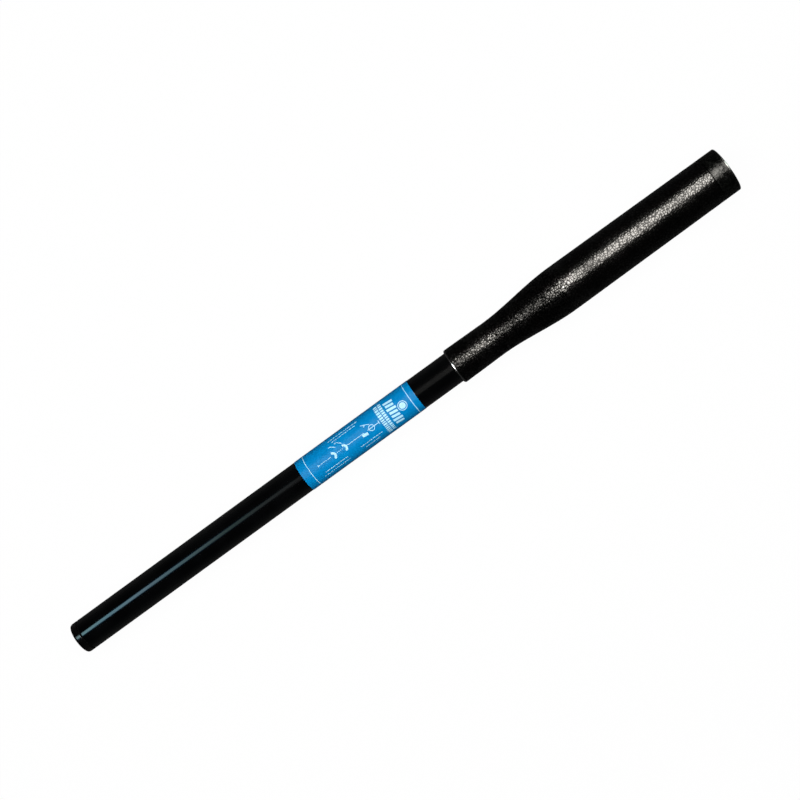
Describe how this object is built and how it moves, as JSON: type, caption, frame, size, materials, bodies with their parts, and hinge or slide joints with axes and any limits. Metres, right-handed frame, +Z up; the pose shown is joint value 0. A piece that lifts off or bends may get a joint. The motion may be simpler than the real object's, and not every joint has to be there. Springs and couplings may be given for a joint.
{
  "type": "telescopic cue extension",
  "caption": "Round telescopic cue extension: a black tube with a flared, grained rubber push-on sleeve, a blue label band, and an inner tube that slides out and locks with a twist.",
  "frame": {"origin": "centre of the face of the rubber pad that the cue's butt rests on, inside the sleeve, on the stick's axis", "axes": "+X along the stick, out of the sleeve's mouth towards the cue; +Z is up when the stick lies flat with the label's artwork on top"},
  "size_m": [0.5958, 0.0372, 0.0372],
  "materials": {
    "tube_black": "gloss black anodised",
    "label_blue": "gloss film, blue with white print",
    "grained_rubber": "pebble grain, low sheen",
    "smooth_rubber": "smooth, matt",
    "cap_black": "satin",
    "tube_bare": "satin, drawn",
    "nylon": "as moulded",
    "acetal_black": "as moulded",
    "steel": "zinc plated"
  },
  "bodies": {
    "outer": {"outer_tube": "tube_black", "guide_bush": "acetal_black", "label_wrap": "label_blue", "push_on_sleeve": "grained_rubber", "sleeve_mouth_band": "smooth_rubber", "cue_stop_cone": "acetal_black", "cue_stop_pad": "smooth_rubber", "stop_pin_1": "steel", "stop_pin_2": "steel"},
    "carriage": {"guide_ring": "nylon", "drag_ring": "smooth_rubber"},
    "inner": {"inner_tube": "tube_bare", "end_cap": "cap_black", "end_bumper": "smooth_rubber", "cap_pin": "steel", "cam_plug": "nylon", "plug_pin": "steel", "cam_washer": "steel", "cam_screw": "steel"},
    "cam": {"cam_ring": "acetal_black", "grip_band": "smooth_rubber"}
  },
  "joints": [
    {"name": "extend", "type": "slide", "parent": "outer", "child": "carriage", "axis": [-1, 0, 0], "range_m": [0, 0.3]},
    {"name": "twist", "type": "hinge", "parent": "carriage", "child": "inner", "pos_m": [-0.0821, 0, 0], "axis": [1, 0, 0], "range_deg": [-45, 45]},
    {"name": "cam_turn", "type": "hinge", "parent": "inner", "child": "cam", "pos_m": [-0.0721, 0, 0.0008], "axis": [1, 0, 0], "range_deg": [-45, 45]}
  ],
  "couplings": [
    {"joint": "cam_turn", "follows": "twist", "ratio": -1}
  ]
}
